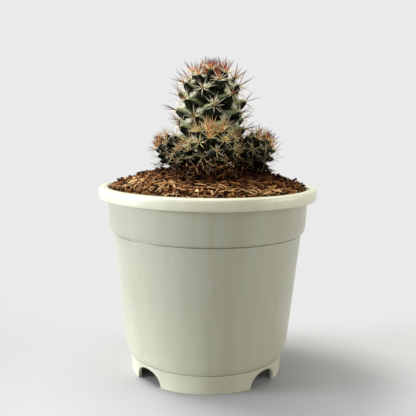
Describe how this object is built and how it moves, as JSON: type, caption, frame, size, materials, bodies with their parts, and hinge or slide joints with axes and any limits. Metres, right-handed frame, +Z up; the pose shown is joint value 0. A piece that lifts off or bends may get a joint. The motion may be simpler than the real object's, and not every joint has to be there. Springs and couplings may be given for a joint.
{
  "type": "potted round cactus",
  "caption": "Round warty cactus with spiny offsets round its base, in a footed plastic nursery pot filled with coconut-husk chips.",
  "frame": {"origin": "middle of the pot's foot ring, on the surface that the pot stands on", "axes": "+Z up along the pot's axis, -Y to the side seen in the picture, +X to the right in the picture"},
  "size_m": [0.11, 0.11, 0.1597],
  "materials": {
    "pot": "satin moulded polypropylene, pale ivory with a green cast",
    "soil": "dry coconut-husk chips and fibres, tan to near black",
    "cactus": "waxy grey-green skin with cream, amber and red-brown spines"
  },
  "bodies": {
    "root": {"pot": "pot", "soil": "soil", "mother_stem": "cactus", "offset_front": "cactus", "offset_right": "cactus", "offset_left": "cactus", "offset_small": "cactus", "offset_back": "cactus"}
  },
  "joints": []
}
